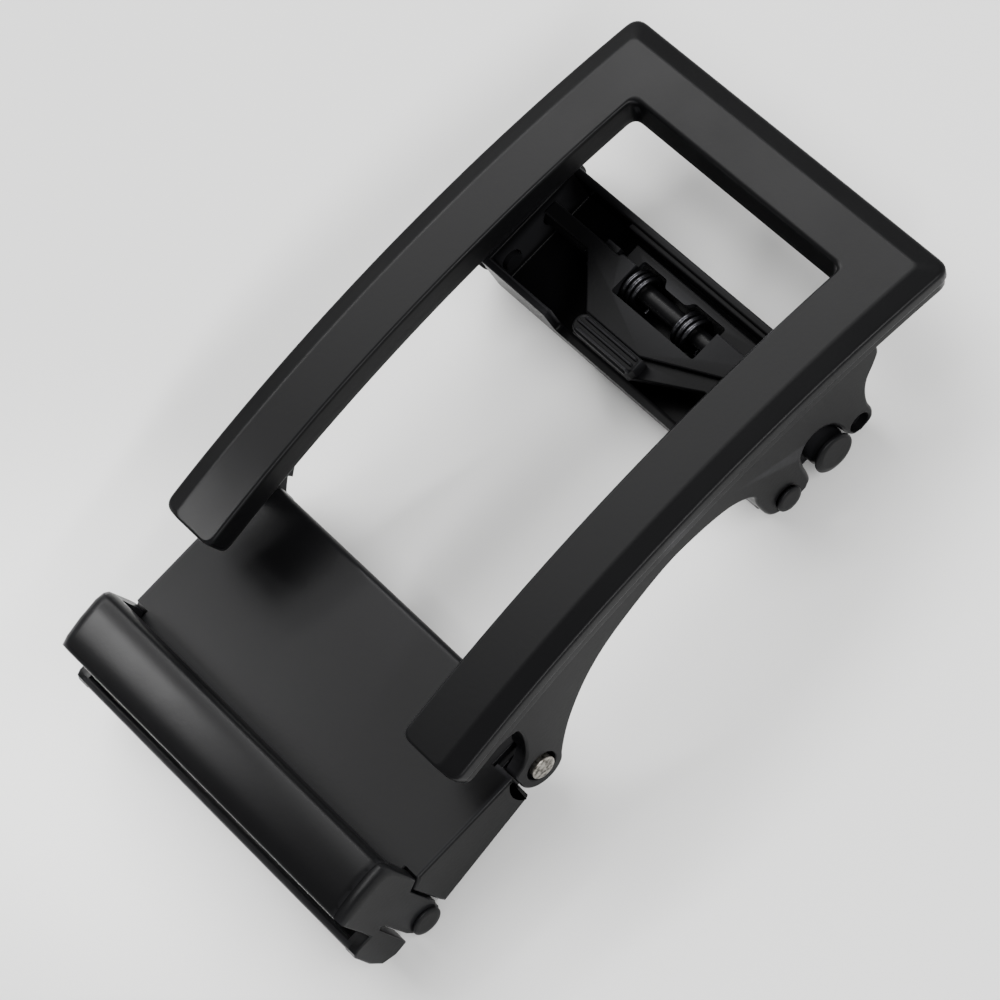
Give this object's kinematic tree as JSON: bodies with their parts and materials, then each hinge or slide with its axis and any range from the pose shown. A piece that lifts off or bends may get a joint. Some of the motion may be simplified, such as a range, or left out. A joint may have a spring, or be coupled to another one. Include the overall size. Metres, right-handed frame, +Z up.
{
  "type": "ratchet belt buckle",
  "caption": "Open-faced ratchet belt buckle for a 35 mm strap: arched cast frame, sprung pawl in a box between its cheeks, hinged strap tray and swinging clamp loop.",
  "frame": {"origin": "middle of the buckle's footprint, on the surface it stands on", "axes": "X along the buckle with the nose at +X and the clamp at -X, Y across it from rail to rail, Z up"},
  "size_m": [0.0768, 0.0408, 0.0159],
  "materials": {
    "black_paint": "satin black paint on zinc alloy castings",
    "black_steel": "blackened spring wire",
    "bare_steel": "bare peened rivet end"
  },
  "bodies": {
    "frame": {"face_frame": "black_paint", "ratchet_box": "black_paint", "axle_stud": "black_paint", "pawl_spring_left": "black_steel", "pawl_spring_right": "black_steel", "front_pin_left": "black_paint", "front_pin_right": "black_paint", "rear_pin_left": "black_paint", "rear_pin_right": "black_paint", "hinge_rivet_left": "bare_steel", "hinge_rivet_right": "bare_steel"},
    "pawl": {"pawl_lever": "black_paint"},
    "tray": {"strap_tray": "black_paint", "clamp_pin_left": "black_paint", "clamp_pin_right": "black_paint"},
    "loop": {"clamp_loop": "black_paint"}
  },
  "joints": [
    {"name": "pawl_pivot", "type": "hinge", "parent": "frame", "child": "pawl", "pos_m": [0.0205, 0, 0.00317], "axis": [0, -1, 0], "range_deg": [0, 6], "stiffness_Nm_per_rad": 0.02, "springref_deg": -9.74},
    {"name": "tray_hinge", "type": "hinge", "parent": "frame", "child": "tray", "pos_m": [-0.01584, 0, 0.00427], "axis": [0, 1, 0], "range_deg": [-45, 30]},
    {"name": "loop_hinge", "type": "hinge", "parent": "tray", "child": "loop", "pos_m": [-0.03242, 0, 0.00165], "axis": [0, -1, 0], "range_deg": [0, 90]}
  ]
}
